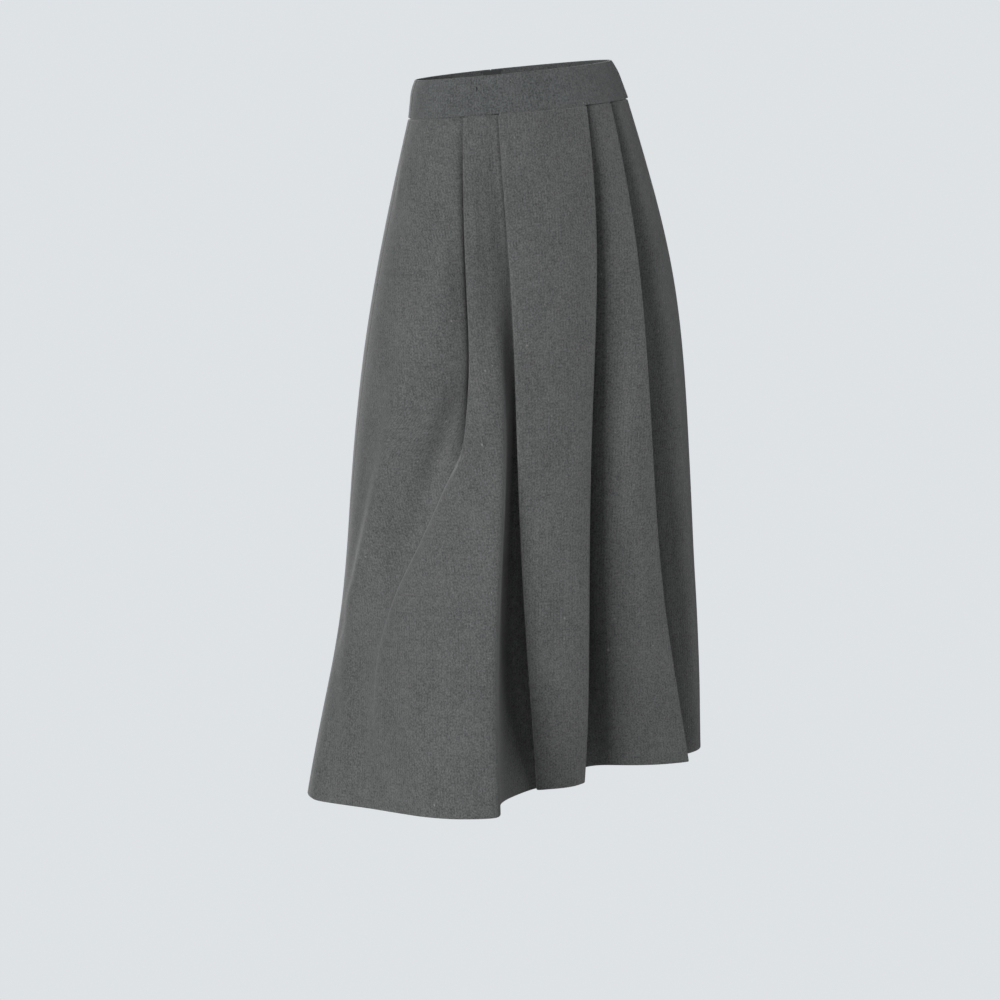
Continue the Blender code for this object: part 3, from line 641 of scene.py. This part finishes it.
# Columns: panel, its first and last seam, the line that hangs straight, the mean flat width with its
# turnings and the band that holds it
PANELS = (
    ("front_panel", "side_right", "side_left", "c2", 0.976, "waistband_front"),
    ("back_panel_left", "side_left", "back", "back", 0.472, "waistband_back_left"),
    ("back_panel_right", "back", "side_right", "back", 0.477, "waistband_back_right"),
)
for panel_name, first_seam, last_seam, straight, flat_width, band in PANELS:
    surface, flat_map = panel_surface(first_seam, last_seam, straight, CREASES[panel_name])
    piece = add_piece(f"{panel_name}_cloth", surface, grid_faces(*surface.shape[:2]), SKIRT_WOOL, flat_map)
    wall = piece.modifiers.new("Cloth thickness", "SOLIDIFY")
    wall.thickness = CLOTH
    wall.offset = 0
    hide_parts(panel_name)
    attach(piece, "skirt")

# The waistband: contoured strips of the same wool, two layers over a firm interlining, in a front and two
# backs. It stands 46 mm high on the waist seam, and its inner layer covers the tops of the pleats.

WAISTBAND_HEIGHT = 0.046
WAISTBAND_WALL = 0.0026
BAND_ABOVE_SEAM = 0.0006
BAND_LEAN = -0.0068
BAND_TAKES_WIDTH = 0.0116
BAND_TAKES_DEPTH = 0.0074
BAND_OUT_AT_SIDES = 0.0012
BAND_OUT_AT_PLEATS = 0.0024
BAND_EDGE = 0.0011
BAND_STEP_DEGREES = 1.0
BAND_ROWS = 90
EDGE_STEPS = 5
BAND_ROLLS_FROM = 0.6
BAND_ROLLS_TO = 1.25
BAND_ROLL = 0.005
PRESS_LINE = 0.0022
PRESS_LINE_DEEP = 0.0004
PRESS_LINE_WIDE = 0.0005
FLAT_LAYERS_APART = 0.1

# Soft upright creases, ridges where the depth is under zero. Columns: degrees round, degrees on from there
# at the top, half width in degrees, depth in millimetres
BAND_CREASES = (
    (-34.5, -3, 1.6, 0.55),
    (-30.5, -3, 2.2, -0.45),
    (-62, 4, 3, 0.4),
    (6, -3, 3.5, 0.35),
    (31, 4, 2.4, -0.35),
    (52, 3, 2.5, 0.4),
    (118, -4, 3, 0.4),
    (151, 5, 2.5, -0.35),
    (207, 4, 3, 0.4),
    (243, -3, 2.5, -0.35),
)


def band_point(degrees, up, out):
    """Points of the band at an angle round it, a part of its height up and a distance out from its middle."""
    turn = np.radians(degrees)
    rolled = BAND_ROLL * eased(BAND_ROLLS_FROM, BAND_ROLLS_TO, up) * np.sin(turn) ** 2
    from_top = (1 - up) * WAISTBAND_HEIGHT - PRESS_LINE
    pressed = PRESS_LINE_DEEP * np.exp(-((from_top / PRESS_LINE_WIDE) ** 2)) * (out > 0)
    for at_degrees, lean, wide, deep in BAND_CREASES:
        off = degrees - at_degrees - lean * up
        pressed = pressed + deep / 1000 * np.exp(-((off / wide) ** 2))
    proud = BAND_OUT_AT_SIDES + (BAND_OUT_AT_PLEATS - BAND_OUT_AT_SIDES) * np.cos(turn) ** 2
    proud = proud + out - rolled - pressed
    x = (WAIST_HALF_WIDTH - BAND_TAKES_WIDTH * up + proud) * np.sin(turn)
    y = -(WAIST_HALF_DEPTH - BAND_TAKES_DEPTH * up + proud) * np.cos(turn)
    z = SEAM_HEIGHT + BAND_ABOVE_SEAM + HIP_TILT * WAIST_HALF_WIDTH * np.sin(turn) + WAISTBAND_HEIGHT * up
    return np.stack([x + BAND_LEAN * up, y, z], axis=-1)


def band_profile():
    """The band's rounded section: height up it and distance out from its middle, both in metres."""
    half = WAISTBAND_WALL / 2
    edge = np.linspace(0, math.pi / 2, EDGE_STEPS)
    side = np.linspace(BAND_EDGE, WAISTBAND_HEIGHT - BAND_EDGE, BAND_ROWS)[1:-1]
    corner_up = BAND_EDGE - BAND_EDGE * np.cos(edge)
    corner_out = half - BAND_EDGE + BAND_EDGE * np.sin(edge)
    up = np.concatenate([corner_up, side, WAISTBAND_HEIGHT - corner_up[::-1]])
    out = np.concatenate([corner_out, half + 0 * side, corner_out[::-1]])
    return np.concatenate([up, up[::-1]]), np.concatenate([out, -out[::-1]])


def band_shell(start, end):
    """A waistband piece: its section carried round between two angles and drawn in to round both ends."""
    up, out = band_profile()
    round_end = np.linspace(0, math.pi / 2, EDGE_STEPS)
    end_degrees = math.degrees(BAND_EDGE / WAIST_HALF_DEPTH)
    gap = math.degrees(SEAM_GAP / 2 / WAIST_HALF_DEPTH)
    steps = math.ceil((end - start) / BAND_STEP_DEGREES)
    middle = np.linspace(start + gap + end_degrees, end - gap - end_degrees, steps)[1:-1]
    lead = start + gap + end_degrees * (1 - np.cos(round_end))
    degrees = np.concatenate([lead, middle, end + start - lead[::-1]])
    drawn_in = BAND_EDGE * (1 - np.sin(round_end))
    less = np.concatenate([drawn_in, 0 * middle, drawn_in[::-1]])
    half = WAISTBAND_WALL / 2
    middle_up = WAISTBAND_HEIGHT / 2
    up_grid = middle_up + (up - middle_up)[:, None] * (1 - less / middle_up)[None, :]
    out_grid = out[:, None] * (1 - less / half)[None, :]
    points = band_point(degrees[None, :], up_grid / WAISTBAND_HEIGHT, out_grid)
    length = np.radians(degrees - 180) * (WAIST_HALF_WIDTH + WAIST_HALF_DEPTH) / 2
    flat_down = -up_grid - np.sign(out)[:, None] * FLAT_LAYERS_APART
    flat = np.stack(np.broadcast_arrays(length[None, :], flat_down), axis=-1)
    return points, flat


def loft_faces(around, steps):
    """Faces of a closed section carried along, with a cap on each end."""
    index = np.arange(around * steps).reshape(around, steps)
    following = np.roll(index, -1, axis=0)
    corners = (index[:, :-1], index[:, 1:], following[:, 1:], following[:, :-1])
    sides = np.stack([corner.ravel() for corner in corners], axis=1).tolist()
    return sides + [index[:, 0].tolist(), index[::-1, -1].tolist()]


BAND_DARK_YARN = (0.056, 0.060, 0.061, 1)
BAND_LIGHT_YARN = (0.182, 0.192, 0.194, 1)
BAND_WOOL = wool_finish("waistband wool", BAND_DARK_YARN, BAND_LIGHT_YARN)

# Columns: waistband piece, its first and last angle round from the centre front, and its length at the seam
BANDS = (
    ("waistband_front", -90, 90, 0.375),
    ("waistband_back_left", 90, 180, 0.1875),
    ("waistband_back_right", 180, 270, 0.1875),
)
for band_name, first_angle, last_angle, flat_length in BANDS:
    shell, flat_map = band_shell(first_angle, last_angle)
    faces = loft_faces(*shell.shape[:2])
    piece = add_piece(f"{band_name}_cloth", shell, faces, BAND_WOOL, flat_map)
    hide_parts(band_name)
    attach(piece, "skirt")

# A tack of dark thread, left upright on the front of the waistband: two strands side by side, sewn in at
# both ends.

TACK_DEGREES = -34.5
TACK_LOW = 0.60
TACK_HIGH = 0.74
TACK_STEPS = 9
STRAND_RADIUS = 0.00028
STRAND_DEGREES = 0.14
STRAND_ARCH = 0.9
STRAND_SUNK = 0.5
STRAND_ENDS = 0.3
OFF_THE_PATH = (0.31, 0.88, 0.35)
THREAD_COLOUR = (0.018, 0.018, 0.020, 1)


def tube(path, radius, around=8):
    """A closed tube of this radius round a path of points, drawn in at both ends."""
    path = np.asarray(path, float)
    along = np.gradient(path, axis=0)
    along /= np.linalg.norm(along, axis=1)[:, None]
    side = np.cross(along, OFF_THE_PATH)
    side /= np.linalg.norm(side, axis=1)[:, None]
    other = np.cross(along, side)
    turn = np.linspace(0, 2 * math.pi, around, endpoint=False)
    size = radius * np.concatenate([[STRAND_ENDS], np.ones(len(path) - 2), [STRAND_ENDS]])
    ring = np.cos(turn)[:, None, None] * side + np.sin(turn)[:, None, None] * other
    return path[None] + ring * size[None, :, None]


def thread_finish():
    """Dull twisted thread."""
    made = Finish("thread")
    made.set(Base_Color=THREAD_COLOUR, Roughness=0.8)
    return made.material


THREAD = thread_finish()
strands = []
up = np.linspace(TACK_LOW, TACK_HIGH, TACK_STEPS)
arch = STRAND_ARCH * np.sin(math.pi * (up - TACK_LOW) / (TACK_HIGH - TACK_LOW)) - STRAND_SUNK
lift = WAISTBAND_WALL / 2 + STRAND_RADIUS * arch
for strand in (-1, 1):
    path = band_point(np.full(TACK_STEPS, TACK_DEGREES + strand * STRAND_DEGREES), up, lift)
    strands.append(tube(path, STRAND_RADIUS))
strand_faces = loft_faces(*strands[0].shape[:2])
points_each = strands[0].shape[0] * strands[0].shape[1]
second = [[corner + points_each for corner in face] for face in strand_faces]
both = np.concatenate([part.reshape(-1, 3) for part in strands])
tack = add_piece("waistband_tack", both, strand_faces + second, THREAD)
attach(tack, "skirt")

# The concealed zip in the centre back seam: a woven tape, a painted slider and its pull. All three keep the
# shapes of the CAD model, and only their finishes are set here.

TAPE_RIB = 0.0009
TAPE_DARK = (0.075, 0.078, 0.080, 1)
TAPE_LIGHT = (0.105, 0.108, 0.110, 1)
PAINT = (0.045, 0.046, 0.050, 1)
WORN_PAINT = (0.10, 0.10, 0.105, 1)


def metal_finish():
    """Dark painted metal, worn a little lighter in patches."""
    made = Finish("zip metal")
    place = made.add("ShaderNodeTexCoord", {}, {}, "Object")
    wear = made.noise(place, 900, 4.0, 0.6)
    colour = made.blend(made.ramp(wear, 0.45, 0.75), PAINT, WORN_PAINT)
    made.set(Base_Color=colour, Roughness=made.ramp(wear, 0.2, 1.2) * 0.3 + 0.28, Metallic=1.0)
    return made.material


def tape_finish():
    """Woven polyester tape with fine cross ribs."""
    made = Finish("zip tape")
    place = made.add("ShaderNodeTexCoord", {}, {}, "Object")
    split = made.add("ShaderNodeSeparateXYZ", {}, {0: place}, "Z")
    angle = split * (2 * math.pi / TAPE_RIB)
    rib = angle.math("SINE", angle)
    colour = made.blend(made.ramp(rib, -1, 1), TAPE_DARK, TAPE_LIGHT)
    bump = made.add("ShaderNodeBump", {}, {"Strength": 0.5, "Distance": 0.0002, "Height": rib})
    made.set(Base_Color=colour, Roughness=0.85, Normal=bump)
    return made.material


ZIP_METAL = metal_finish()
ZIP_TAPE = tape_finish()
for node, finish in (("zip_tape", ZIP_TAPE), ("zip_slider", ZIP_METAL), ("zip_pull", ZIP_METAL)):
    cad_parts[node].data.materials.clear()
    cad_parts[node].data.materials.append(finish)

# The studio: a pale floor that sweeps up into the backdrop all round, a large soft light to the left of the
# camera, weaker ones in front, on the right and behind, and light thrown back by the floor.

FLOOR_HEIGHT = -1.083
FLOOR_RADIUS = 7.0
SWEEP_RADIUS = 3.0
WALL_TOP = 6.0
BACKDROP = (0.732, 0.762, 0.785, 1)
PAPER = (0.0, 0.0, 0.0, 1)
GLOW = 1.0
WORLD_GLOW = 0.035


def sweep_bowl():
    """The floor's profile turned about the vertical: flat, then a quarter circle, then an upright wall."""
    flat = np.linspace(0, FLOOR_RADIUS, 12)
    curve = np.linspace(0, math.pi / 2, 20)[1:]
    wall = np.linspace(SWEEP_RADIUS, WALL_TOP, 6)[1:]
    upright = 0 * wall + FLOOR_RADIUS + SWEEP_RADIUS
    reach = np.concatenate([flat, FLOOR_RADIUS + SWEEP_RADIUS * np.sin(curve), upright])
    rise = np.concatenate([0 * flat, SWEEP_RADIUS * (1 - np.cos(curve)), wall]) + FLOOR_HEIGHT
    turn = np.radians(np.arange(0, 361, 5))
    points = [reach[:, None] * np.cos(turn), reach[:, None] * np.sin(turn), rise[:, None] + 0 * turn]
    return np.stack(points, axis=-1)


def backdrop_finish():
    """Pale matt paper that glows a little, so that its tone is even."""
    made = Finish("backdrop")
    made.set(Base_Color=PAPER, Roughness=1.0, Specular_IOR_Level=0.0)
    made.set(Emission_Color=BACKDROP, Emission_Strength=GLOW)
    return made.material


bowl = sweep_bowl()
inside_faces = [face[::-1] for face in grid_faces(*bowl.shape[:2])]
backdrop = add_piece("backdrop", bowl, inside_faces, backdrop_finish())
backdrop.visible_diffuse = False
backdrop.visible_glossy = False
backdrop.visible_shadow = False

# Columns: name, degrees round from the front, degrees up, side in metres, watts
LIGHTS = (
    ("key", -50, 11, 2.0, 118),
    ("front", -10, 20, 2.4, 14),
    ("right", 64, 12, 2.4, 32),
    ("floor", -34, -26, 2.4, 20),
    ("rim", 88, 16, 2.4, 26),
    ("back", 165, 14, 2.4, 60),
    ("back_right", -170, 14, 2.4, 50),
)
LIGHTS_AWAY = 4.2
AIM = (0.0, 0.0, -0.45)


def aim(placed, target):
    """Turns a light or the camera to face a point."""
    towards = np.subtract(target, placed.location)
    level = math.hypot(towards[0], towards[1])
    placed.rotation_euler = (math.atan2(level, -towards[2]), 0, math.atan2(-towards[0], towards[1]))


for light_name, round_degrees, up_degrees, side, watts in LIGHTS:
    lamp = bpy.data.lights.new(light_name, "AREA")
    lamp.size = side
    lamp.energy = watts
    lit = bpy.data.objects.new(light_name, lamp)
    round_turn = math.radians(round_degrees)
    up_turn = math.radians(up_degrees)
    level = LIGHTS_AWAY * math.cos(up_turn)
    rise = LIGHTS_AWAY * math.sin(up_turn)
    lit.location = np.add(AIM, (level * math.sin(round_turn), -level * math.cos(round_turn), rise))
    aim(lit, AIM)
    bpy.context.scene.collection.objects.link(lit)

world = bpy.data.worlds.new("studio")
world.use_nodes = True
world.node_tree.nodes["Background"].inputs["Color"].default_value = BACKDROP
world.node_tree.nodes["Background"].inputs["Strength"].default_value = WORLD_GLOW
bpy.context.scene.world = world

# The camera stands at the photograph's angle: a little to the wearer's right, level with the waist and
# looking slightly down.

CAMERA_PLACE = (-1.1343, -3.4167, 0.05)
CAMERA_TARGET = (-0.0219, 0.0071, -0.5105)
CAMERA_LENS = 104.5
SENSOR_WIDTH = 36

view = bpy.data.cameras.new("camera")
view.lens = CAMERA_LENS
view.sensor_width = SENSOR_WIDTH
camera = bpy.data.objects.new("camera", view)
camera.location = CAMERA_PLACE
aim(camera, CAMERA_TARGET)
bpy.context.scene.collection.objects.link(camera)
bpy.context.scene.camera = camera
bpy.context.scene.view_settings.view_transform = "Standard"
